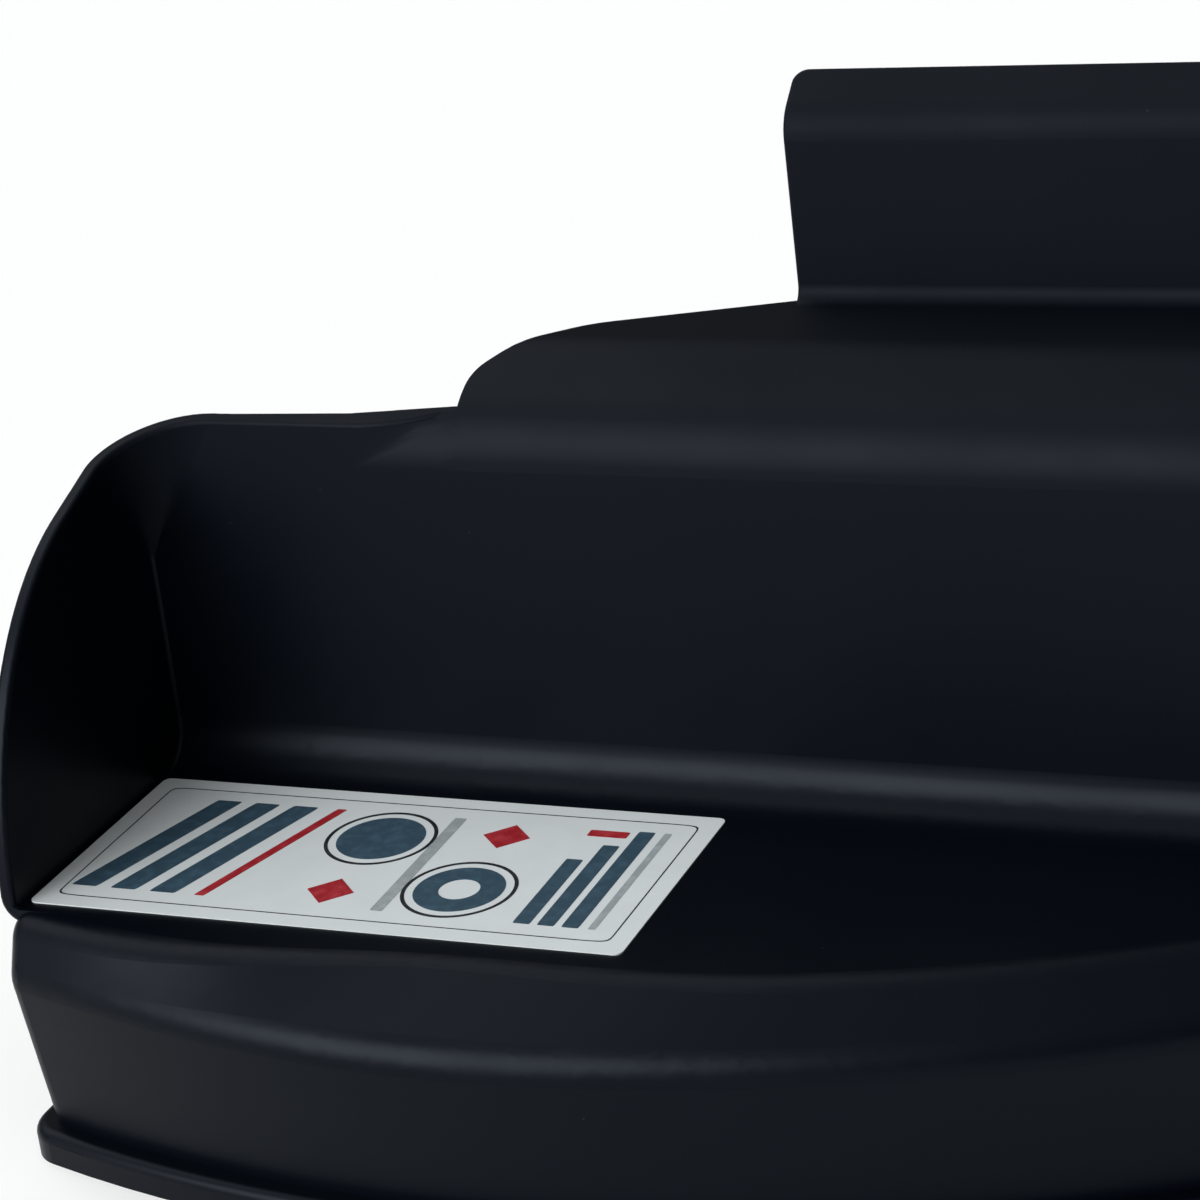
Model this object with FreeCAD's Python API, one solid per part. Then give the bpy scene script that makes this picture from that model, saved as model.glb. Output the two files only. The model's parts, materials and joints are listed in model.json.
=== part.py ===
import FreeCAD, Part
import math
import os

# Mulching plug for a mower deck: one thin moulded shell and one label on its shelf.
# Sizes are in millimetres. X runs along the plug, Y from its outer face towards the
# cutting chamber, Z is up. While it is built, X and Y start at the shelf's corner under
# the label and Z at the shelf; the last step puts the zero under the middle of the shell.

wall = 3.0                  # thickness of the moulded shell

# shelf that carries the label, and the upright wall behind it
shelf_back = 60.0           # depth of the shelf, from the label's front edge to the wall
shelf_fillet = 9.0          # hollow rounding between shelf and wall
wall_lean = 1.0             # how far the wall leans back by its top
wall_bend = 14.0            # rounding at the top of the wall

# slope and ledge above the wall
ledge_height = 79.0
slope_drop = 9.8            # from the ledge down to where wall and slope would meet
slope_run = 19.0            # from the wall's top back to the ledge
ledge_bend = 12.0

# skirt below the shelf, bowed about an upright axis
bow_radius = 275.0          # outer face of the skirt
bow_x = 80.0                # where along the shelf the skirt stands foremost
bow_front = -22.0           # how far forward it stands there
bow_spare = 12.0            # angle by which the skirt is drawn past both ends before it is cut
bow_sections = 20
shoulder_drop = 10.0        # height of the sloping shoulder between shelf and skirt
shoulder_left = 5.0         # width of the shoulder at the left end
shoulder_middle = 15.5      # width where it is broadest
shoulder_right = 10.5       # width towards the nose
shoulder_peak = 1.0         # angle of the broadest place about the bow's axis
shoulder_spread = 9.0       # angle over which the broad part dies away
shoulder_top_bend = 6.0
shoulder_crest_bend = 7.0
skirt_depth = 46.0          # from the shelf down to the resting edge
skirt_draft = 3.0           # how far the skirt draws in towards its foot
left_face = -2.2            # outer face of the skirt's left side, at the shelf
left_draft = 4.0            # how far that side draws in towards its foot
left_corner = 4.5           # rounding of the skirt's left corner

# foot rim round the bottom of the skirt
rim_height = 6.0
rim_out = 4.5               # how far the rim stands out from the skirt's foot
rim_corner = 8.0
rim_edge = 2.0

# rounded nose that closes the right end
nose_inset = 12.0           # how far the nose stands back from the shoulder's top edge
nose_lean = 40.0            # how far the nose has drawn in at its crown
nose_over = 7.0             # how far above the ledge the nose would close over
nose_corner = 9.0           # rounding between the nose and the wall, slope and ledge

# wing that closes the left end of the shelf
wing_face = -1.0            # inner face of the wing
wing_over = 1.6             # how far the wing's oval reaches above the start of the wall's bend
wing_round_start = 50.0     # depth of the oval's middle
wing_front = 3.0            # how far the wing's foot stands before the label's front edge
wing_root = 0.9             # small rounding where the wing meets wall and shelf
wing_under_bend = 5.0       # outer rounding under the wing's foot
wing_edge = 0.9             # rounding of the free edge of wing and wall

# corner between wing and wall, which opens out from a crease into a wide curve
corner_low = 42.0           # height above the shelf where it starts to open
corner_tip = 1.0            # radius there
corner_open = 18.0          # radius at the upper edge

# upper edge between the wing and the ledge
rim_slope = 0.36            # rise of the edge behind the wing's oval
straight_end = 44.0         # how far to the right the wall runs straight up to its edge
sweep_radius = 46.0         # from there the edge sweeps back into the slope
sweep_angle = 24.0
edge_clear = 0.03           # keeps the cut just off the swept edge in front of it
edge_depth = 6.5            # from the wall's foot to the back of the upper edge where it ends
ledge_left = 64.8           # left end of slope and ledge
ledge_left_behind = 13.0    # how far behind the wall's foot that end turns towards the panel
ledge_left_bend = 8.0
ledge_turn_x = 82.0         # second turn of the ledge's back corner
ledge_turn_behind = 29.8
ledge_turn_bend = 20.0

# hook panel that stands on the ledge
panel_left = 117.0
panel_right = 243.0
panel_behind = 44.0         # how far the panel's face stands behind the wall's foot
panel_foot_bend = 3.0
panel_rise = 33.6           # from the ledge up to where the panel bends back
panel_bend = 8.0
hook_back = 9.5             # how far the bent top reaches back
hook_rise = 7.1
panel_end_round = 3.0
panel_edge = 0.9            # rounding of the panel's free edges

# front tab at the nose
tab_length = 22.0
tab_root = 12.0
tab_low = 4.0
tab_high = 26.0
tab_round = 6.0

# slot for the edge of the deck's opening, in the left side
deck_edge = 3.0
slot_clearance = 2.0
slot_top = 14.0             # how far below the shelf the slot ends
slot_front = -1.0           # depth of the slot's front side
stop_rib = 16.0             # where the rib stands that ends the slot

# label
label_length = 114.3
label_width = 50.8
label_thickness = 0.25
label_corner = 1.5

far = 400.0                 # longer than any side of the plug

wall_corner = ledge_height - slope_drop
wall_angle = math.atan2(wall_corner, wall_lean)
slope_angle = math.atan2(slope_drop, slope_run)
bend_run = wall_bend * math.tan((wall_angle - slope_angle) / 2)
bend_start = wall_corner - bend_run * math.sin(wall_angle)
wing_height = bend_start + wing_over
wing_depth = wing_round_start + wing_front
oval_turn = math.atan2(wing_depth * rim_slope, wing_height + wall)      # there the oval is as steep as the edge
oval_end = wing_round_start - wing_depth * math.sin(oval_turn)
oval_top = (wing_height + wall) * math.cos(oval_turn) - wall
wing_join = oval_end + wall / 2                         # depth at which the corner takes over from the wing
wall_depth = wall / math.sin(wall_angle)                # thickness of the leaning wall, measured level
edge_height = oval_top + rim_slope * (shelf_back + wall_lean + wall_depth - oval_end)
edge_behind = shelf_back + edge_depth
ledge_front = shelf_back + wall_lean + slope_run
ledge_left_back = shelf_back + ledge_left_behind
ledge_turn_y = shelf_back + ledge_turn_behind
panel_face = shelf_back + panel_behind
panel_corner = ledge_height + panel_rise
ledge_back = panel_face + wall                          # the ledge ends flush with the panel
bow_y = bow_front + bow_radius
bow_behind = bow_y - ledge_back                         # distance of the back from the bow's axis
nose_foot = bow_radius - shoulder_right - nose_inset    # distance of the nose from the bow's axis
nose_crown = ledge_height + nose_over


def unit(a, b):
    length = math.hypot(b[0] - a[0], b[1] - a[1])
    return ((b[0] - a[0]) / length, (b[1] - a[1]) / length)


def rounded(corners, place):
    # edges along the corners (u, v, radius), each corner turned into an arc
    edges = []
    start = corners[0]
    for i in range(1, len(corners) - 1):
        corner = corners[i]
        back = unit(corner, corners[i - 1])
        ahead = unit(corner, corners[i + 1])
        if corner[2] <= 0:
            edges.append(Part.makeLine(place(start[0], start[1]), place(corner[0], corner[1])))
            start = corner
            continue
        half = math.acos(back[0] * ahead[0] + back[1] * ahead[1]) / 2
        run = corner[2] / math.tan(half)
        first = (corner[0] + back[0] * run, corner[1] + back[1] * run)
        last = (corner[0] + ahead[0] * run, corner[1] + ahead[1] * run)
        middle = unit((0, 0), (back[0] + ahead[0], back[1] + ahead[1]))
        reach = corner[2] / math.sin(half) - corner[2]
        top = (corner[0] + middle[0] * reach, corner[1] + middle[1] * reach)
        edges.append(Part.makeLine(place(start[0], start[1]), place(first[0], first[1])))
        arc = Part.Arc(place(first[0], first[1]), place(top[0], top[1]), place(last[0], last[1]))
        edges.append(arc.toShape())
        start = last
    end = corners[-1]
    edges.append(Part.makeLine(place(start[0], start[1]), place(end[0], end[1])))
    return edges


def shifted(corners, gap):
    # the same line moved to its right by the gap, with radii that stay concentric
    moved = []
    count = len(corners)
    for i in range(count):
        corner = corners[i]
        into = unit(corners[max(i - 1, 0)], corners[max(i, 1)])
        out = unit(corners[min(i, count - 2)], corners[min(i + 1, count - 1)])
        share = gap / (1 + into[0] * out[0] + into[1] * out[1])
        u = corner[0] + (into[1] + out[1]) * share
        v = corner[1] - (into[0] + out[0]) * share
        turn = into[0] * out[1] - into[1] * out[0]
        radius = corner[2] + gap if turn > 0 else corner[2] - gap
        moved.append((u, v, max(radius, 0.0) if corner[2] > 0 else 0.0))
    return moved


def closed(corners, place):
    first = corners[0]
    ring = corners + [(first[0], first[1], 0.0)]
    return Part.Wire(rounded(ring, place))


def side(u, v):
    return FreeCAD.Vector(0, u, v)


def front(u, v):
    return FreeCAD.Vector(u, 0, v)


def plan(u, v):
    return FreeCAD.Vector(u, v, 0)


def box(x0, x1, y0, y1, z0, z1):
    return Part.makeBox(x1 - x0, y1 - y0, z1 - z0, FreeCAD.Vector(x0, y0, z0))


def prism(wire, along):
    return Part.Face(wire).extrude(along)


def wall_line():
    # shelf, wall, slope and ledge, seen from the left
    return [
        (shelf_back, -far, 0.0),
        (shelf_back, 0.0, 0.0),
        (shelf_back + wall_lean, wall_corner, wall_bend),
        (ledge_front, ledge_height, ledge_bend),
        (far, ledge_height, 0.0),
    ]


def shoulder_width(angle):
    end = shoulder_left if angle < shoulder_peak else shoulder_right
    fall = math.exp(-((angle - shoulder_peak) / shoulder_spread) ** 2)
    return end + (shoulder_middle - end) * fall


def skirt_line(angle):
    # shelf edge, shoulder and skirt, as distance from the bow's axis and height
    return [
        (bow_behind / 2, 0.0, 0.0),
        (bow_radius - shoulder_width(angle), 0.0, shoulder_top_bend),
        (bow_radius, -shoulder_drop, shoulder_crest_bend),
        (bow_radius - skirt_draft, -skirt_depth, 0.0),
    ]


def bow_section(angle, inset, bottom):
    turn = math.radians(angle)

    def place(u, v):
        return FreeCAD.Vector(bow_x + u * math.sin(turn), bow_y - u * math.cos(turn), v)

    line = shifted(skirt_line(angle), inset)
    line = line[:-1] + [(line[-1][0], bottom, 0.0)]
    return closed(line + [(bow_behind / 2, bottom, 0.0)], place)


def bow_body(inset, bottom):
    # the body under shelf and shoulder, drawn through sections round the bow
    first = -math.degrees(math.atan((bow_x - left_face) / bow_behind)) - bow_spare
    last = math.degrees(math.acos(bow_behind / bow_radius)) + bow_spare
    step = (last - first) / (bow_sections - 1)
    angles = [first + step * i for i in range(bow_sections)]
    return Part.makeLoft([bow_section(a, inset, bottom) for a in angles], True, False)


def nose_body(inset):
    # body turned about the bow's axis: upright foot, then a quarter ellipse to the crown
    foot = nose_foot - inset
    top = nose_crown - inset
    lean = nose_foot - nose_lean

    def place(u, v):
        return FreeCAD.Vector(bow_x, bow_y + u, v)

    oval = Part.Ellipse(place(lean, top), place(foot, 0), place(lean, 0))
    quarter = Part.ArcOfEllipse(oval, 0, math.pi / 2).toShape()
    ends = sorted(quarter.Vertexes, key=lambda p: p.Point.z)
    low = ends[0].Point
    high = ends[1].Point
    edges = [
        quarter,
        Part.makeLine(low, place(foot, -far)),
        Part.makeLine(place(foot, -far), place(0, -far)),
        Part.makeLine(place(0, -far), place(0, top)),
        Part.makeLine(place(0, top), high),
    ]
    wire = Part.Wire(Part.__sortEdges__(edges))
    return Part.Face(wire).revolve(FreeCAD.Vector(bow_x, bow_y, 0), FreeCAD.Vector(0, 0, 1), 360)


def nose_radius(height, inset):
    lean = nose_lean - inset
    level = min(max(height, 0.0) / (nose_crown - inset), 1.0)
    return nose_foot - nose_lean + lean * math.sqrt(1 - level ** 2)


def behind_wall(inset, left, back, bottom, corner):
    # everything under the line of wall, slope and ledge, closed by the rounded nose
    line = shifted(wall_line(), inset)
    under = line + [(far, -far, 0.0)]
    body = prism(closed(under, side), FreeCAD.Vector(far - left, 0, 0))
    body.translate(FreeCAD.Vector(left, 0, 0))
    body = body.common(box(left, far, -far, back, bottom, far))
    body = body.common(nose_body(inset))
    corners = []
    for edge in body.Edges:
        middle = edge.valueAt((edge.FirstParameter + edge.LastParameter) / 2)
        away = math.hypot(middle.x - bow_x, middle.y - bow_y)
        on_nose = abs(away - nose_radius(middle.z, inset)) < 0.2 and middle.x > bow_x
        inside = edge.BoundBox.YMin < back - 1 and edge.BoundBox.ZMax > bottom + 1
        level_foot = edge.BoundBox.ZMax < 0.1 and edge.BoundBox.ZLength < 0.1
        if on_nose and inside and not level_foot:
            corners.append(edge)
    return body.makeFillet(corner, corners)


def with_shelf_fillet(body):
    # hollow rounding along the foot of the wall and round the nose
    feet = []
    for edge in body.Edges:
        bounds = edge.BoundBox
        middle = edge.valueAt((edge.FirstParameter + edge.LastParameter) / 2)
        away = math.hypot(middle.x - bow_x, middle.y - bow_y)
        level = bounds.ZLength < 0.01 and abs(bounds.ZMax) < 0.01
        if level and middle.y > shelf_back - 0.1 and away < nose_foot + 0.1 and bounds.YMin < ledge_back - 1:
            feet.append(edge)
    return body.makeFillet(shelf_fillet, feet)


def with_wing_root(body):
    # small rounding up the corner between wing and wall, and along the wing's foot
    roots = []
    for edge in body.Edges:
        bounds = edge.BoundBox
        on_face = bounds.XLength < 0.01 and abs(bounds.XMin - wing_face) < 0.01
        if on_face and bounds.YMin > shelf_back - 1 and bounds.ZLength > corner_low / 2:
            roots.append(edge)
    return body.makeFillet(wing_root, roots)


def right_of_left_side(inset):
    # everything to the right of the skirt's left side, which draws in towards its foot
    line = [
        (left_face + inset, far / 8, 0.0),
        (left_face + inset, 0.0, 0.0),
        (left_face + left_draft + inset, -skirt_depth, 0.0),
        (left_face + left_draft + inset, -far / 2, 0.0),
        (far, -far / 2, 0.0),
        (far, far / 8, 0.0),
    ]
    body = prism(closed(line, front), FreeCAD.Vector(0, 2 * far, 0))
    body.translate(FreeCAD.Vector(0, -far, 0))
    return body


def foot_rim():
    radius = bow_radius - skirt_draft + rim_out
    left = left_face + left_draft - rim_out
    disc = Part.makeCylinder(radius, rim_height, FreeCAD.Vector(bow_x, bow_y, -skirt_depth))
    rim = disc.common(box(left, far, -far, ledge_back, -far, far))
    corners = []
    for edge in rim.Edges:
        middle = edge.CenterOfMass
        if edge.BoundBox.ZLength > rim_height / 2 and middle.x < left + 1 and middle.y < 0:
            corners.append(edge)
    rim = rim.makeFillet(rim_corner, corners)
    tops = []
    for edge in rim.Edges:
        flat = edge.BoundBox.ZLength < 0.01 and edge.BoundBox.ZMin > -skirt_depth + rim_height / 2
        if flat and edge.BoundBox.YMin < ledge_back - 1:
            tops.append(edge)
    return rim.makeFillet(rim_edge, tops)


def skirt_body():
    body = bow_body(0.0, -skirt_depth).common(right_of_left_side(0.0))
    body = body.common(box(-far, far, -far, ledge_back, -far, far))
    corners = []
    for edge in body.Edges:
        bounds = edge.BoundBox
        on_side = bounds.XMax < left_face + left_draft + 0.01
        above_foot = bounds.ZMax > -skirt_depth + 1
        if on_side and above_foot and bounds.YMax < ledge_back + 0.01 and bounds.YMin < ledge_back - 1:
            corners.append(edge)
    return body.makeFillet(left_corner, corners)


def rim_height_at(depth):
    return oval_top + rim_slope * (depth - oval_end)


def under_rim(corners):
    # everything under the free upper edge: an oval from the wing's foot, then a straight rise
    oval = Part.Ellipse(
        side(wing_round_start, wing_height),
        side(wing_round_start - wing_depth, -wall),
        side(wing_round_start, -wall),
    )
    arc = Part.ArcOfEllipse(oval, oval_turn, math.pi / 2).toShape()
    if arc.BoundBox.YMin > wing_round_start:
        arc = Part.ArcOfEllipse(oval, -math.pi / 2, -oval_turn).toShape()
    foot = wing_round_start - wing_depth
    line = [(oval_end, oval_top)] + corners + [(corners[-1][0], -far / 8), (foot, -far / 8), (foot, -wall)]
    outline = [arc]
    for i in range(len(line) - 1):
        outline.append(Part.makeLine(side(line[i][0], line[i][1]), side(line[i + 1][0], line[i + 1][1])))
    shape = prism(Part.Wire(Part.__sortEdges__(outline)), FreeCAD.Vector(far, 0, 0))
    shape.translate(FreeCAD.Vector(-far / 2, 0, 0))
    return shape.common(box(-far / 8, far / 4, -far / 8, far / 4, -far / 8, far / 4))


def wing():
    # upright sheet that turns in under the shelf, cut to its oval front
    bend = [(left_corner * 2, 0.0, 0.0), (wing_face, 0.0, 0.0), (wing_face, far / 4, 0.0)]
    outside = shifted(bend, -wall)
    outside[1] = (outside[1][0], outside[1][1], wing_under_bend)
    edges = rounded(bend, front)
    edges += rounded(outside, front)
    edges.append(Part.makeLine(front(bend[0][0], 0), front(outside[0][0], outside[0][1])))
    edges.append(Part.makeLine(front(bend[-1][0], far / 4), front(outside[-1][0], far / 4)))
    sheet = Part.Face(Part.Wire(Part.__sortEdges__(edges))).extrude(FreeCAD.Vector(0, far, 0))
    sheet.translate(FreeCAD.Vector(0, -far / 2, 0))
    plate = sheet.common(under_rim([
        (wing_join + wall, rim_height_at(wing_join + wall)),
        (wing_join + wall, corner_low + wall),
        (shelf_back + wall, corner_low + wall),
    ]))
    free = []
    for edge in plate.Edges:
        bounds = edge.BoundBox
        if bounds.YLength > wing_depth / 2 and bounds.ZLength > wing_height / 2 and bounds.XLength < 0.01:
            free.append(edge)
    return plate.makeFillet(wing_edge, free)


def wall_face(height):
    return shelf_back + wall_lean * height / wall_corner


def level_loft(section):
    # upright body from the height where the corner starts to open to just above the edge
    return Part.makeLoft([section(corner_low), section(edge_height + wall / 2)], True, True)


def corner_section(height):
    # level section through wing, corner and straight wall
    share = (height - corner_low) / (edge_height - corner_low)
    inside = corner_tip + (corner_open - corner_tip) * share
    outside = inside * (1 + wall / corner_open)
    face = wall_face(height)

    def place(u, v):
        return FreeCAD.Vector(u, v, height)

    line = [
        (wing_face, wing_join, 0.0),
        (wing_face, face, inside),
        (straight_end, face, 0.0),
        (straight_end, face + wall_depth, 0.0),
        (wing_face - wall, face + wall_depth, outside),
        (wing_face - wall, wing_join, 0.0),
    ]
    return closed(line, place)


def sweep_section(height):
    # level section through the place where the straight wall sweeps back into the slope
    turn = math.radians(sweep_angle)
    face = wall_face(height)
    bend = straight_end + sweep_radius * math.tan(turn / 2)
    reach = ledge_left + 4 * wall - bend

    def place(u, v):
        return FreeCAD.Vector(u, v, height)

    line = [
        (straight_end - wall, face, 0.0),
        (bend, face, sweep_radius),
        (bend + reach, face + reach * math.tan(turn), 0.0),
        (bend + reach, ledge_front, 0.0),
        (straight_end - wall, ledge_front, 0.0),
    ]
    return closed(line, place)


def with_rim_edges(body):
    # rounds the long edges that lie on the sloping upper edge
    free = []
    for edge in body.Edges:
        middle = edge.valueAt((edge.FirstParameter + edge.LastParameter) / 2)
        spots = [middle] + [vertex.Point for vertex in edge.Vertexes]
        on_rim = all(abs(spot.z - rim_height_at(spot.y)) < 0.01 for spot in spots)
        if on_rim and edge.Length > 1.3 * wall and middle.y < shelf_back + 2.5 * wall:
            free.append(edge)
    return body.makeFillet(wing_edge, free)


def left_end():
    # the upper left end: wing, opening corner and straight wall in one even sheet
    sheet = level_loft(corner_section)
    return with_rim_edges(sheet.common(under_rim([(far / 4, rim_height_at(far / 4))])))


def edge_sweep():
    # fills the wall's bend out to the straight wall, and lets it emerge towards the ledge
    body = level_loft(sweep_section)
    body = body.common(box(-far, far, -far, far, bend_start - wall, far))
    return with_rim_edges(body.common(under_rim([(far / 4, rim_height_at(far / 4))])))


def upper_cuts():
    # take away what stands above the upper edge and behind it, left of the ledge
    over = [
        (shelf_back, rim_height_at(shelf_back) + edge_clear, 0.0),
        (far / 4, rim_height_at(far / 4) + edge_clear, 0.0),
        (far / 4, far, 0.0),
        (shelf_back, far, 0.0),
    ]
    above = prism(closed(over, side), FreeCAD.Vector(far, 0, 0))
    above.translate(FreeCAD.Vector(ledge_left - far, 0, 0))
    outline = [
        (-far / 8, shelf_back + wall_lean + wall_depth, 0.0),
        (straight_end, shelf_back + wall_lean + wall_depth, 0.0),
        (ledge_left, edge_behind, 0.0),
        (ledge_left, ledge_left_back, ledge_left_bend),
        (ledge_turn_x, ledge_turn_y, ledge_turn_bend),
        (panel_left, panel_face, 0.0),
        (panel_left, far / 2, 0.0),
        (-far / 8, far / 2, 0.0),
    ]
    behind = prism(closed(outline, plan), FreeCAD.Vector(0, 0, far))
    behind.translate(FreeCAD.Vector(0, 0, shelf_fillet))
    return [above, behind]


def hook_panel():
    line = [
        (panel_face - 10, ledge_height, 0.0),
        (panel_face, ledge_height, panel_foot_bend),
        (panel_face, panel_corner, panel_bend),
        (panel_face + hook_back, panel_corner + hook_rise, 0.0),
    ]
    under = shifted(line, wall)
    edges = rounded(line, side)
    edges += rounded(under, side)
    edges.append(Part.makeLine(side(line[0][0], line[0][1]), side(under[0][0], under[0][1])))
    edges.append(Part.makeLine(side(line[-1][0], line[-1][1]), side(under[-1][0], under[-1][1])))
    sheet = Part.Face(Part.Wire(Part.__sortEdges__(edges)))
    panel = sheet.extrude(FreeCAD.Vector(panel_right - panel_left, 0, 0))
    panel.translate(FreeCAD.Vector(panel_left, 0, 0))
    top = panel_corner + hook_rise / 2
    ends = [edge for edge in panel.Edges if edge.BoundBox.XLength < 0.01 and edge.BoundBox.ZMin > top]
    panel = panel.makeFillet(panel_end_round, [edge for edge in ends if edge.Length < wall + 0.1])
    free = []
    for edge in panel.Edges:
        bounds = edge.BoundBox
        at_end = bounds.XLength < panel_end_round + 0.1 or bounds.ZMin > top
        if at_end and bounds.ZMax > ledge_height + panel_foot_bend + 0.1 and edge.Length > wall + 0.1:
            free.append(edge)
    return panel.makeFillet(panel_edge, free)


def front_tab():
    reach = bow_y - ledge_back
    turn = math.acos(reach / nose_foot)
    tab = box(-tab_root, tab_length, -wall / 2, wall / 2, tab_low, tab_high)
    ends = []
    for edge in tab.Edges:
        if edge.BoundBox.XMin > tab_length - 0.01 and edge.BoundBox.YLength > wall / 2:
            ends.append(edge)
    tab = tab.makeFillet(tab_round, ends)
    tab.rotate(FreeCAD.Vector(0, 0, 0), FreeCAD.Vector(0, 0, 1), math.degrees(turn))
    away = nose_foot - wall
    tab.translate(FreeCAD.Vector(bow_x + away * math.sin(turn), bow_y - away * math.cos(turn), 0))
    return tab


def make_shell():
    outer = skirt_body()
    outer = outer.fuse(behind_wall(0.0, wing_face - wall / 2, ledge_back, -wall, nose_corner))
    outer = outer.fuse(wing())
    outer = with_wing_root(with_shelf_fillet(outer.removeSplitter()))
    outer = outer.fuse(foot_rim()).fuse(edge_sweep())
    inner = bow_body(wall, -2 * skirt_depth).common(right_of_left_side(wall))
    inner = inner.fuse(behind_wall(wall, -far / 8, far, -far, nose_corner - wall))
    shell = outer.cut(inner)
    shell = shell.cut(box(-far / 8, straight_end, wing_join, far / 4, corner_low, far))
    for tool in upper_cuts():
        shell = shell.cut(tool)
    shell = shell.fuse(left_end())
    shell = shell.fuse(hook_panel())
    shell = shell.fuse(front_tab())
    gap = deck_edge + slot_clearance
    rib_back = slot_front + gap + wall
    rib = box(stop_rib, stop_rib + wall, -far / 8, rib_back, -skirt_depth + rim_height, 0.0)
    shell = shell.fuse(rib.common(bow_body(wall / 2, -skirt_depth)))
    slot = box(-far / 8, stop_rib, slot_front, slot_front + gap, -2 * skirt_depth, -slot_top)
    shell = shell.cut(slot)
    return shell.removeSplitter()


def make_label():
    sheet = box(0, label_length, 0, label_width, 0, label_thickness)
    corners = [edge for edge in sheet.Edges if edge.BoundBox.ZLength > label_thickness / 2]
    return sheet.makeFillet(label_corner, corners)


shell = make_shell()
label = make_label()
bounds = shell.optimalBoundingBox(False, False)
home = FreeCAD.Vector(-bounds.Center.x, -bounds.Center.y, -bounds.ZMin)
shell.translate(home)
label.translate(home)

os.makedirs("parts", exist_ok=True)
shell.exportStep("parts/plug_shell.step")
label.exportStep("parts/label_sheet.step")
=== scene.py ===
import json

import bpy
import numpy as np
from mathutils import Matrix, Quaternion, Vector

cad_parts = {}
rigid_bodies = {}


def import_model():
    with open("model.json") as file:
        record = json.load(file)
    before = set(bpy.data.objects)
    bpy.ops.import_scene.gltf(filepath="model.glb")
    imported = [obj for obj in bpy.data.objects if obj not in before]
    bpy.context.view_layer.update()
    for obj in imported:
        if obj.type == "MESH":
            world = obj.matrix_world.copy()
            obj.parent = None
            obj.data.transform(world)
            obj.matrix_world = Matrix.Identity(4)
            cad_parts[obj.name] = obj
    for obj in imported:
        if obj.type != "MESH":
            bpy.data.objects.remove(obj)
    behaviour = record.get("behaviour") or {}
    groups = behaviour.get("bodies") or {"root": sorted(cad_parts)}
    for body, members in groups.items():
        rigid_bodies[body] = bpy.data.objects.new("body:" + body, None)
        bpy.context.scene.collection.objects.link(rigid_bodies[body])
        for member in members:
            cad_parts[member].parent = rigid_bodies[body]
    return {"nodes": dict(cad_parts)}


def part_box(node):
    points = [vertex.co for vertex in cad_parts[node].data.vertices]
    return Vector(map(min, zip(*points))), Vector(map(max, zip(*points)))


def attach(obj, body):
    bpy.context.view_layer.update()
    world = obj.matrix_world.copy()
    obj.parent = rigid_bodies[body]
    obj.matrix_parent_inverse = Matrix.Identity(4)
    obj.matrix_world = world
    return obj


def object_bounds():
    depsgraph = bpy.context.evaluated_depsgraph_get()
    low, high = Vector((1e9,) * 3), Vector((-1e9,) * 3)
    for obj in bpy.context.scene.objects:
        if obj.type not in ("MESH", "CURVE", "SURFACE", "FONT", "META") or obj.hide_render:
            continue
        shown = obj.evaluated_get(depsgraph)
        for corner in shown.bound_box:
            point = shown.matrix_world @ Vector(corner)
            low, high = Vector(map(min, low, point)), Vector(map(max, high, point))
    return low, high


# Mulching plug: a black moulded shell with one printed label on its shelf.
# The frame is in metres; sizes in the dictionaries are in millimetres, and angles in degrees.

mm = 0.001

for leftOver in list(bpy.data.objects):
    bpy.data.objects.remove(leftOver)

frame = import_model()
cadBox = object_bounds()
shell = frame["nodes"]["plug_shell"]
film = frame["nodes"]["label_sheet"]
filmBox = np.array(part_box("label_sheet")) / mm
shelfCorner = filmBox[0]  # the label's front left corner on the shelf, where sizes are measured from
print("frame loaded:", ", ".join(sorted(frame["nodes"])))


def linear(hexCode):
    # sRGB hex to the linear red, green, blue and alpha that a shader takes
    srgb = np.array([int(hexCode[i:i + 2], 16) for i in (1, 3, 5)]) / 255
    value = np.where(srgb <= 0.04045, srgb / 12.92, ((srgb + 0.055) / 1.055) ** 2.4)
    return (*value.tolist(), 1.0)


def perMetre(sizeMm):
    return 1 / (sizeMm * mm)  # texture scale at which one feature is that long


def addNode(tree, kind, props, inputs):
    # new node with its properties set, and each input given a value or a link
    node = tree.nodes.new(kind)
    for name, value in props.items():
        setattr(node, name, value)
    for socket, value in inputs.items():
        if isinstance(value, bpy.types.NodeSocket):
            tree.links.new(value, node.inputs[socket])
        else:
            node.inputs[socket].default_value = value
    return node


def newMaterial(name):
    material = bpy.data.materials.new(name)
    material.use_nodes = True
    material.node_tree.nodes.clear()
    return material, material.node_tree


def dress(piece, material):
    piece.data.materials.clear()
    piece.data.materials.append(material)


def meshPiece(name, vertices, faces):
    mesh = bpy.data.meshes.new(name)
    mesh.from_pydata(vertices.tolist(), [], faces)
    mesh.update()
    piece = bpy.data.objects.new(name, mesh)
    bpy.context.scene.collection.objects.link(piece)
    return piece


def ringFaces(rings, points):
    # numbers of the points of rings that close on themselves, and the quads between neighbours
    number = np.arange(rings * points).reshape(rings, points)
    ahead = np.roll(number, -1, 1)
    quads = np.stack([number[:-1], number[1:], ahead[1:], ahead[:-1]], -1)
    return number, quads.reshape(-1, 4).tolist()


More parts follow.
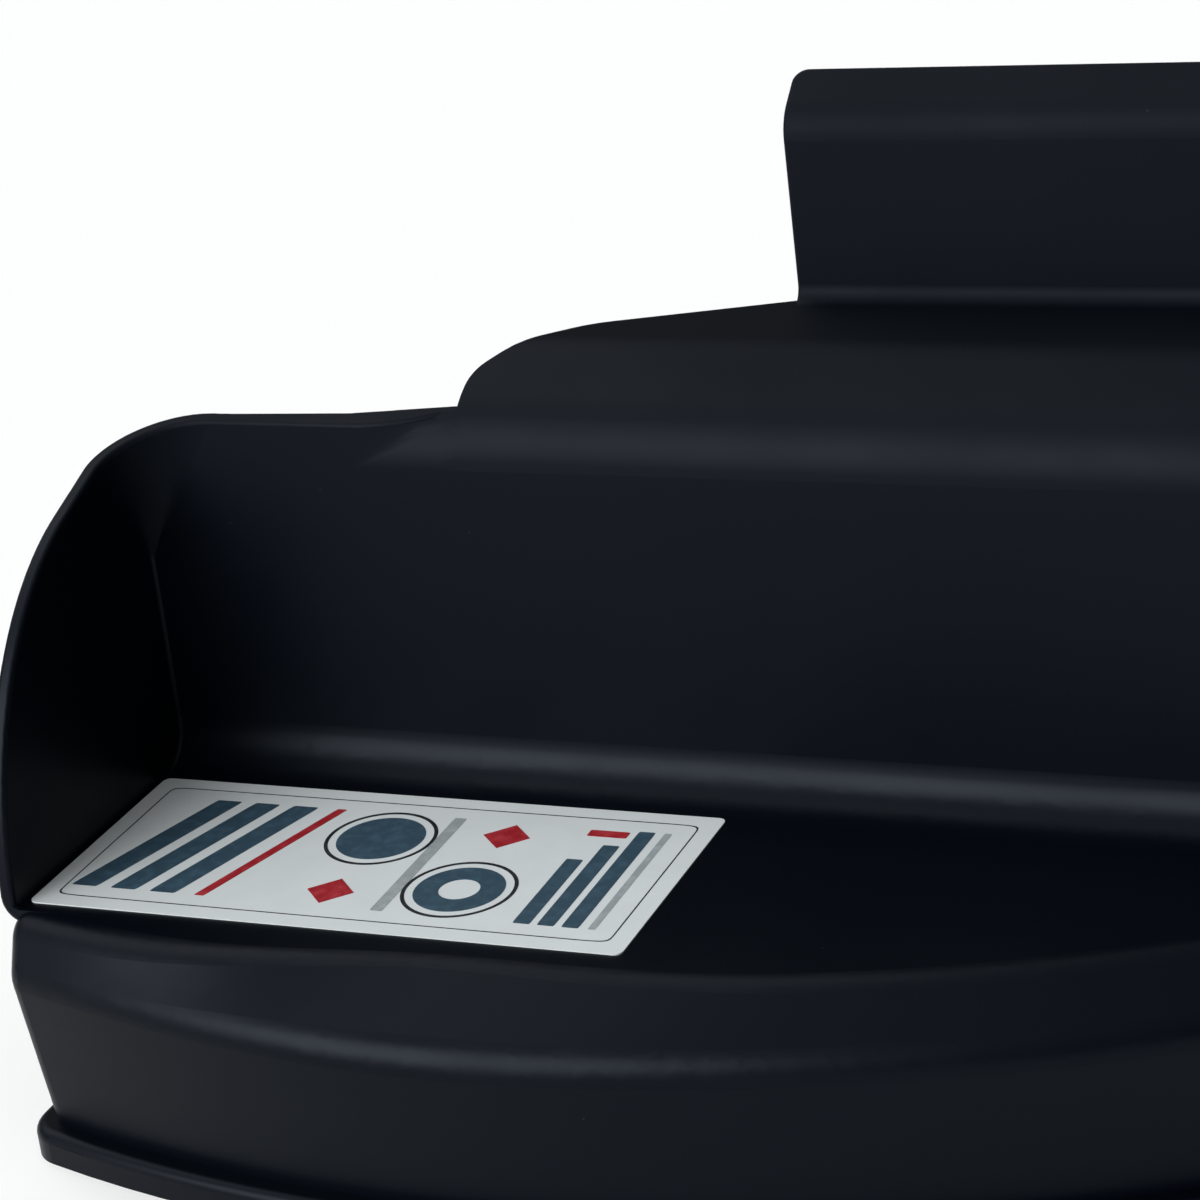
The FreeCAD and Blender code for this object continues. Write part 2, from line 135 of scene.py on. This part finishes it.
shellLook = {
    "colour": "#02050b",         # carbon black with a cold cast
    "dust": "#3a3f45",
    "glossTint": "#d6e1f0",      # the black reflects coldly
    "gloss": 0.12,
    "ior": 1.49,
    "smooth": 0.33,              # roughness where the mould was polished best
    "dull": 0.41,                # and where it was not
    "duller": 0.2,               # added towards the top, which came duller from the mould
    "dullHeights": (92, 124),    # above the floor, between which that grows
    "cloud": 38,                 # size of the dull patches
    "grain": 0.7,                # mould grain, drawn a little coarse so that it shows
    "grainDepth": 0.004,
    "sink": 60,                  # slow waves left by uneven cooling
    "sinkDepth": 0.06,
    "speck": 11,                 # spacing of dust specks
    "speckEdge": 0.016,          # outer radius of a speck, as a share of the spacing
    "speckCore": 0.008,          # and the radius within which it is full
    "dustCover": 0.5,            # how much of the black a speck hides
}


def mouldedPolypropylene(look):
    # black polypropylene from a satin mould: hardly any colour of its own, a broad soft
    # gloss that varies in patches, very fine grain, slow waves and a few specks of dust
    material, tree = newMaterial("polypropylene_moulded_black")
    place = addNode(tree, "ShaderNodeTexCoord", {}, {}).outputs["Object"]
    cloud = addNode(tree, "ShaderNodeTexNoise", {}, {
        "Vector": place, "Scale": perMetre(look["cloud"]), "Detail": 3, "Roughness": 0.6})
    roughness = addNode(tree, "ShaderNodeMapRange", {}, {
        "Value": cloud.outputs["Fac"], "From Min": 0.3, "From Max": 0.7,
        "To Min": look["smooth"], "To Max": look["dull"]})
    height = addNode(tree, "ShaderNodeSeparateXYZ", {}, {"Vector": place}).outputs["Z"]
    lowest, highest = look["dullHeights"]
    duller = addNode(tree, "ShaderNodeMapRange", {"interpolation_type": "SMOOTHSTEP"}, {
        "Value": height, "From Min": lowest * mm, "From Max": highest * mm,
        "To Min": 0, "To Max": look["duller"]})
    roughness = addNode(tree, "ShaderNodeMath", {"operation": "ADD"}, {
        0: roughness.outputs["Result"], 1: duller.outputs["Result"]})
    speck = addNode(tree, "ShaderNodeTexVoronoi", {}, {
        "Vector": place, "Scale": perMetre(look["speck"]), "Randomness": 1})
    onSpeck = addNode(tree, "ShaderNodeMapRange", {}, {
        "Value": speck.outputs["Distance"], "From Min": look["speckEdge"], "From Max": look["speckCore"],
        "To Min": 0, "To Max": look["dustCover"]})
    colour = addNode(tree, "ShaderNodeMix", {"data_type": "RGBA"}, {
        0: onSpeck.outputs["Result"], 6: linear(look["colour"]), 7: linear(look["dust"])})
    sink = addNode(tree, "ShaderNodeTexNoise", {}, {
        "Vector": place, "Scale": perMetre(look["sink"]), "Detail": 1})
    waves = addNode(tree, "ShaderNodeBump", {}, {
        "Height": sink.outputs["Fac"], "Distance": look["sinkDepth"] * mm})
    grain = addNode(tree, "ShaderNodeTexNoise", {}, {
        "Vector": place, "Scale": perMetre(look["grain"]), "Detail": 2})
    bump = addNode(tree, "ShaderNodeBump", {}, {
        "Height": grain.outputs["Fac"], "Distance": look["grainDepth"] * mm,
        "Normal": waves.outputs["Normal"]})
    surface = addNode(tree, "ShaderNodeBsdfPrincipled", {}, {
        "Base Color": colour.outputs[2], "Roughness": roughness.outputs["Value"],
        "IOR": look["ior"], "Specular IOR Level": look["gloss"],
        "Specular Tint": linear(look["glossTint"]), "Normal": bump.outputs["Normal"]})
    addNode(tree, "ShaderNodeOutputMaterial", {}, {"Surface": surface.outputs["BSDF"]})
    return material


blackPlastic = mouldedPolypropylene(shellLook)
dress(shell, blackPlastic)
print("shell: moulded polypropylene")


sharpAngle = 40  # edges that turn by more than this stay sharp


def shellPiece(name, spots, faces):
    piece = meshPiece(name, (spots + shelfCorner) * mm, faces)
    piece.data.shade_smooth()
    piece.data.set_sharp_from_angle(angle=np.radians(sharpAngle))
    dress(piece, blackPlastic)
    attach(piece, "root")


def shellSheet(name, face, lining):
    # thin closed body of shell plastic between two grids of points, with a border round them
    spots = np.concatenate([face.reshape(-1, 3), lining.reshape(-1, 3)])
    count = face[..., 0].size
    number = np.arange(count).reshape(face.shape[:2])
    quads = np.stack([number[:-1, :-1], number[1:, :-1], number[1:, 1:], number[:-1, 1:]], -1)
    quads = quads.reshape(-1, 4)
    rim = np.concatenate([number[:-1, 0], number[-1, :-1], number[:0:-1, -1], number[0, :0:-1]])
    after = np.roll(rim, -1)
    sides = np.stack([after, rim, rim + count, after + count], -1)
    shellPiece(name, spots, quads.tolist() + (quads[:, ::-1] + count).tolist() + sides.tolist())


blendLook = {
    "wallFoot": 60.0,                # depth of the wall at the shelf
    "wallLean": 1 / 69.2,            # how far it leans back for each millimetre of height
    "bendMiddle": (74.877, 60.605),  # depth and height of the middle of the wall's bend
    "bendRadius": 14.0,
    "above": 0.05,                   # starts this far above the foot of the bend
    "straightEnd": 44.0,             # where the wall's edge starts to sweep back
    "sweepRadius": 46.0,
    "sweepAngle": 24.0,
    "right": 70.0,
    "edgeTop": 68.4,                 # height at which the upper edge starts to round over
    "edgeSlope": 0.36,
    "edgeRun": 4.0,                  # depth over which that edge still rises
    "fillFade": 6,                   # power by which the fill dies away towards the edge
    "proud": 0.03,                   # stands out a hair
    "diveStart": 57.0,               # and dives under towards its right end
    "dive": 0.15,
    "thick": 0.5,
    "columns": 120,
    "rows": 60,
}


def edgeBlend(look):
    # soft fill between the swept edge and the wall's bend, over a grid of length and height: the
    # lesser of the two depths, less a quarter of the bend's depth where they are alike
    turn = np.radians(look["sweepAngle"])
    radius = look["sweepRadius"]
    along = np.linspace(look["straightEnd"], look["right"], look["columns"])[:, None]
    share = np.linspace(0, 1, look["rows"])[None, :]
    run = along - look["straightEnd"]
    arcRun = np.minimum(run, radius * np.sin(turn))
    sweep = radius - np.sqrt(radius ** 2 - arcRun ** 2) + (run - arcRun) * np.tan(turn)
    depth, middle = look["bendMiddle"]
    bottom = middle + look["bendRadius"] * look["wallLean"] + look["above"]
    top = look["edgeTop"] + look["edgeSlope"] * np.minimum(sweep, look["edgeRun"])
    height = bottom + share * (top - bottom)
    wallDepth = look["wallFoot"] + look["wallLean"] * height
    bend = depth - np.sqrt(look["bendRadius"] ** 2 - (height - middle) ** 2) - wallDepth
    bend = np.maximum(bend, 1e-6)  # never nothing, as it divides below
    near = np.maximum(bend - np.abs(sweep - bend), 0) / bend
    fill = near ** 2 * bend / 4 * (1 - share ** look["fillFade"])
    ease = np.clip((along - look["diveStart"]) / (look["right"] - look["diveStart"]), 0, 1)
    lift = look["proud"] - look["dive"] * ease ** 2
    front = wallDepth + np.minimum(sweep, bend) - fill - lift
    x = np.broadcast_to(along, height.shape)
    sheets = [np.stack([x, y, height], -1) for y in (front, front + look["thick"])]
    shellSheet("edge_blend", *sheets)


edgeBlend(blendLook)
print("shell: blend at the upper edge")


beadLook = {
    "left": 17.0,
    "right": 44.4,
    "corner": (64.01, 70.18),      # depth and height of the wall's back corner before it is rounded
    "topWay": (-1.0, -0.36),       # from there forwards, in depth and height, along the sloping edge
    "backWay": (-1 / 69.2, -1.0),  # and down the wall's back
    "reach": 1.25,
    "root": 0.4,                   # how deep the bead sits in the wall
    "sharp": (0.25, 0.996),        # sharpness at its left end, still under the rounding, and at its right
    "columns": 60,
    "points": 16,
}


def rimBead(look):
    # back corner of the upper edge, sharpening to the right: the corner plus each of its two ways
    # times a power of the share round it; the power grows along the edge, and a chord closes the section
    sharp = np.linspace(*look["sharp"], look["columns"])[:, None]
    power = 1 - np.log2(1 - sharp)
    share = np.linspace(0, 1, look["points"])[None, :]
    corner = np.array(look["corner"])
    top, back = (np.array(look[way]) / np.hypot(*look[way]) for way in ("topWay", "backWay"))
    root = look["root"] / look["reach"] + 0 * power
    outer = [(1 - share) ** power, share ** power]
    inner = [root + share, root + 1 - share]
    halves = [a[..., None] * top + b[..., None] * back for a, b in (outer, inner)]
    ring = corner + look["reach"] * np.concatenate(halves, 1)
    along = np.linspace(look["left"], look["right"], look["columns"])[:, None]
    x = np.broadcast_to(along, ring.shape[:2])
    spots = np.stack([x, ring[..., 0], ring[..., 1]], -1).reshape(-1, 3)
    number, faces = ringFaces(*ring.shape[:2])
    shellPiece("rim_bead", spots, faces + [number[0].tolist(), number[-1, ::-1].tolist()])


rimBead(beadLook)
print("shell: bead at the upper edge")


footLook = {
    "axis": (80.0, 253.0),         # upright axis that the skirt is bowed about
    "radius": 276.5,               # outer face of the foot rim
    "top": -40.0,
    "round": 2.0,
    "turn": (-15.5, 58.0),         # angles about the axis
    "slope": (3.0, 86.0),          # angles from the outer face up to the top
    "proud": 0.03,
    "dive": 0.1,                   # how far its left end dives under
    "fade": 3.0,                   # angle over which it does so
    "inside": 0.001,               # kept behind the foremost face of the frame
    "thick": 0.5,
    "columns": 260,
    "rows": 24,
}


def footRound(look):
    # fine rounding along the foot rim: a quarter circle carried about the skirt's axis
    turn = np.radians(np.linspace(*look["turn"], look["columns"]))[:, None]
    slope = np.radians(np.linspace(*look["slope"], look["rows"]))[None, :]
    ease = np.clip(1 - (turn - turn[0]) / np.radians(look["fade"]), 0, 1)
    lift = look["proud"] * np.sin(slope) ** 2 - look["dive"] * ease ** 2
    axisX, axisY = look["axis"]
    foremost = cadBox[0][1] / mm - shelfCorner[1] + look["inside"]
    sheets = []
    for depth in (0, look["thick"]):
        curve = look["round"] + lift - depth
        reach = look["radius"] - look["round"] + curve * np.cos(slope)
        height = look["top"] - look["round"] + curve * np.sin(slope)
        y = np.maximum(axisY - reach * np.cos(turn), foremost)
        sheets.append(np.stack([axisX + reach * np.sin(turn), y, height], -1))
    shellSheet("foot_round", *sheets)


footRound(footLook)
print("shell: rounding of the foot rim")


filmLook = {
    "colour": "#cdd2d2",
    "shade": "#c3c8c9",
    "mottle": 6,                 # size of the paler and darker spots
    "fibre": 0.5,                # tooth of the matt face, drawn coarse so that it shows
    "fibreDepth": 0.006,
    "roughness": 0.55,
    "gloss": 0.3,
    "ior": 1.5,
}


def printedFilm(look):
    # matt polyester label film: pale grey white, faintly mottled, no shine of its own
    material, tree = newMaterial("polyester_film_matt")
    place = addNode(tree, "ShaderNodeTexCoord", {}, {}).outputs["Object"]
    mottle = addNode(tree, "ShaderNodeTexNoise", {}, {
        "Vector": place, "Scale": perMetre(look["mottle"]), "Detail": 4})
    colour = addNode(tree, "ShaderNodeMix", {"data_type": "RGBA"}, {
        0: mottle.outputs["Fac"], 6: linear(look["colour"]), 7: linear(look["shade"])})
    fibre = addNode(tree, "ShaderNodeTexNoise", {}, {
        "Vector": place, "Scale": perMetre(look["fibre"]), "Detail": 2})
    bump = addNode(tree, "ShaderNodeBump", {}, {
        "Height": fibre.outputs["Fac"], "Distance": look["fibreDepth"] * mm})
    surface = addNode(tree, "ShaderNodeBsdfPrincipled", {}, {
        "Base Color": colour.outputs[2], "Roughness": look["roughness"], "IOR": look["ior"],
        "Specular IOR Level": look["gloss"], "Normal": bump.outputs["Normal"]})
    addNode(tree, "ShaderNodeOutputMaterial", {}, {"Surface": surface.outputs["BSDF"]})
    return material


dress(film, printedFilm(filmLook))
print("label: film")


printLook = {
    "clear": 0.004,                       # gap between the film and the ink
    "height": 0.03,                       # screen ink lies thick
    "points": 64,
    "worn": 2.4,                          # size of the thin spots in the ink
    "roughness": 0.5,
    "gloss": 0.3,
    "ior": 1.5,
    "inks": {
        "slate": ("#2c4250", "#3b5463"),  # ink where it lies thick and where it is thin
        "red": ("#8f1620", "#a8323a"),
        "black": ("#16181c", "#2e3136"),
        "grey": ("#8b9294", "#9da4a5"),
    },
    # ink, middle x and y, half length, half width, squareness, lean, open share of the middle
    "shapes": [
        ("black", 57.15, 25.4, 53.6, 21.9, 40, 0.0, 0.988),  # line round the whole print
        # leaning bars
        *[("slate", x, 25.4, 2.6, 18.0, 24, 0.30, 0.0) for x in (12.5, 20.5, 28.5)],
        ("red", 36.0, 25.4, 1.0, 18.0, 24, 0.30, 0.0),
        # a full and an open disc, each in a ring
        ("slate", 54.0, 33.5, 8.2, 8.2, 2, 0.0, 0.0),
        ("slate", 77.0, 17.3, 8.2, 8.2, 2, 0.0, 0.45),
        *[("black", x, y, 10.4, 10.4, 2, 0.0, 0.93) for x, y in ((54.0, 33.5), (77.0, 17.3))],
        # diamonds, with a bar between them
        *[("red", x, y, 4.6, 4.6, 1, 0.0, 0.0) for x, y in ((54.0, 13.0), (77.0, 37.8))],
        ("grey", 65.5, 25.4, 1.2, 18.0, 24, 0.0, 0.0),
        # upright bars that rise in steps from one line
        *[("slate", 93.0 + 4.5 * step, 19.4 + 3.0 * step, 1.6, 12.0 + 3.0 * step, 24, 0.0, 0.0)
          for step in range(3)],
        ("grey", 106.0, 25.4, 0.7, 18.0, 24, 0.0, 0.0),
        ("red", 95.2, 41.6, 3.8, 1.2, 12, 0.0, 0.0),
    ],
}


def screenInk(look, name):
    # matt screen-printed ink: flat colour that is a little thinner in small spots
    thick, thin = look["inks"][name]
    material, tree = newMaterial("screen_ink_" + name)
    place = addNode(tree, "ShaderNodeTexCoord", {}, {}).outputs["Object"]
    spots = addNode(tree, "ShaderNodeTexNoise", {}, {
        "Vector": place, "Scale": perMetre(look["worn"]), "Detail": 4, "Roughness": 0.7})
    cover = addNode(tree, "ShaderNodeMapRange", {}, {
        "Value": spots.outputs["Fac"], "From Min": 0.45, "From Max": 0.7})
    colour = addNode(tree, "ShaderNodeMix", {"data_type": "RGBA"}, {
        0: cover.outputs["Result"], 6: linear(thick), 7: linear(thin)})
    surface = addNode(tree, "ShaderNodeBsdfPrincipled", {}, {
        "Base Color": colour.outputs[2], "Roughness": look["roughness"], "IOR": look["ior"],
        "Specular IOR Level": look["gloss"]})
    addNode(tree, "ShaderNodeOutputMaterial", {}, {"Surface": surface.outputs["BSDF"]})
    return material


def inkShape(look, x, y, halfLength, halfWidth, square, lean, hollow):
    # flat patch with a superellipse outline: cosine and sine of the angle, each raised to two
    # over the squareness, leaned sideways with the width; a hollow one has a second outline inside
    turn = np.linspace(0, 2 * np.pi, look["points"], endpoint=False) + np.pi / 4  # starts at a corner
    cosine, sine = np.cos(turn), np.sin(turn)
    u = halfLength * np.sign(cosine) * np.abs(cosine) ** (2 / square)
    v = halfWidth * np.sign(sine) * np.abs(sine) ** (2 / square)
    count = look["points"]
    around = np.arange(count)
    after = np.roll(around, -1)
    low = np.zeros(count)
    top = low + look["height"]
    outer = [x + u + lean * v, y + v]
    if not hollow:
        spots = np.concatenate([np.stack([*outer, low], -1), np.stack([*outer, top], -1)])
        sides = np.stack([around, after, after + count, around + count], -1)
        return spots, sides.tolist() + [(around + count).tolist(), around[::-1].tolist()]
    margin = halfWidth * (1 - hollow)
    inner = [x + u * (1 - margin / halfLength) + lean * v, y + v * hollow]
    rings = [(outer, low), (outer, top), (inner, top), (inner, low)]
    spots = np.concatenate([np.stack([*ring, height], -1) for ring, height in rings])
    step = np.arange(4)[:, None] * count
    ahead = np.roll(step, -1, 0)
    bands = np.stack([step + around, step + after, ahead + after, ahead + around], -1)
    return spots, bands.reshape(-1, 4).tolist()


def labelPrint(look):
    # one piece for each ink, with all its patches on the film
    corner = (*filmBox[0, :2], filmBox[1, 2] + look["clear"])
    for ink in look["inks"]:
        spots, faces = [], []
        for kind, *shape in look["shapes"]:
            if kind != ink:
                continue
            start = sum(len(part) for part in spots)
            points, sides = inkShape(look, *shape)
            spots.append(points)
            faces += [[number + start for number in side] for side in sides]
        piece = meshPiece("label_ink_" + ink, (np.concatenate(spots) + corner) * mm, faces)
        dress(piece, screenInk(look, ink))
        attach(piece, "root")


labelPrint(printLook)
print("label: print")


floorLook = {
    "radius": 4000,
    "colour": "#f9f8f6",
    "inner": 0.01,    # share at the innermost ring
    "rings": 40,
    "spokes": 96,
}


def studioFloor(look):
    # flat disc of matt white paper, which shows nothing but the shadow: radius grows with the
    # square of the ring's share, angle runs once round
    share, turn = np.meshgrid(
        np.linspace(look["inner"], 1, look["rings"]) ** 2,
        np.linspace(0, 2 * np.pi, look["spokes"], endpoint=False), indexing="ij")
    reach = share * look["radius"] * mm
    spots = np.stack([reach * np.cos(turn), reach * np.sin(turn), 0 * reach], -1).reshape(-1, 3)
    number, faces = ringFaces(look["rings"], look["spokes"])
    floor = meshPiece("studio_floor", spots, faces + [number[0].tolist()])
    material, tree = newMaterial("paper_sweep_white")
    surface = addNode(tree, "ShaderNodeBsdfDiffuse", {}, {"Color": linear(look["colour"])})
    addNode(tree, "ShaderNodeOutputMaterial", {}, {"Surface": surface.outputs["BSDF"]})
    dress(floor, material)


studioFloor(floorLook)


roomLight = {
    "tint": "#fbfdff",
    "dim": 0.08,                     # low walls of the room
    "lamps": [                       # direction, strength, angle of even light, angle of its edge
        ((-0.30, -0.40, 0.86), 0.70, 8, 76),
        ((-0.40, -0.84, 0.36), 7.8, 8, 30),
        ((-0.55, 0.14, 0.82), 1.5, 5, 38),
    ],
}


def softRoom(look):
    # dim room with soft patches of light: each is even near its middle and dies away smoothly
    world = bpy.data.worlds.new("soft_room")
    bpy.context.scene.world = world
    world.use_nodes = True
    tree = world.node_tree
    tree.nodes.clear()
    way = addNode(tree, "ShaderNodeTexCoord", {}, {}).outputs["Generated"]
    level = look["dim"]
    for towards, strength, core, edge in look["lamps"]:
        near = addNode(tree, "ShaderNodeVectorMath", {"operation": "DOT_PRODUCT"}, {
            0: way, 1: Vector(towards).normalized()})
        patch = addNode(tree, "ShaderNodeMapRange", {"interpolation_type": "SMOOTHSTEP"}, {
            "Value": near.outputs["Value"], "From Min": np.cos(np.radians(edge)),
            "From Max": np.cos(np.radians(core)), "To Min": 0, "To Max": strength})
        level = addNode(tree, "ShaderNodeMath", {"operation": "ADD"}, {
            0: level, 1: patch.outputs["Result"]}).outputs["Value"]
    glow = addNode(tree, "ShaderNodeBackground", {}, {
        "Color": linear(look["tint"]), "Strength": level})
    addNode(tree, "ShaderNodeOutputWorld", {}, {"Surface": glow.outputs["Background"]})


softRoom(roomLight)
print("room light and floor")


viewpoint = {
    "place": (176.4, -507.3, 312.1),
    "aim": (-67.4, 13.7, 80.8),
    "roll": -7.23,                   # about the line of sight
    "lens": 103.3,
    "sensor": 36,
    "nearest": 10,                   # nothing closer than this is drawn
}


def setCamera(look):
    lens = bpy.data.cameras.new("camera")
    lens.lens = look["lens"]
    lens.sensor_width = look["sensor"]
    lens.clip_start = look["nearest"] * mm
    camera = bpy.data.objects.new("camera", lens)
    bpy.context.scene.collection.objects.link(camera)
    place = Vector(look["place"]) * mm
    sight = Vector(look["aim"]) * mm - place
    camera.location = place
    camera.rotation_mode = "QUATERNION"
    roll = Quaternion((0, 0, 1), np.radians(look["roll"]))
    camera.rotation_quaternion = sight.to_track_quat("-Z", "Y") @ roll
    bpy.context.scene.camera = camera


setCamera(viewpoint)
bpy.context.scene.view_settings.view_transform = "Standard"
print("camera set")
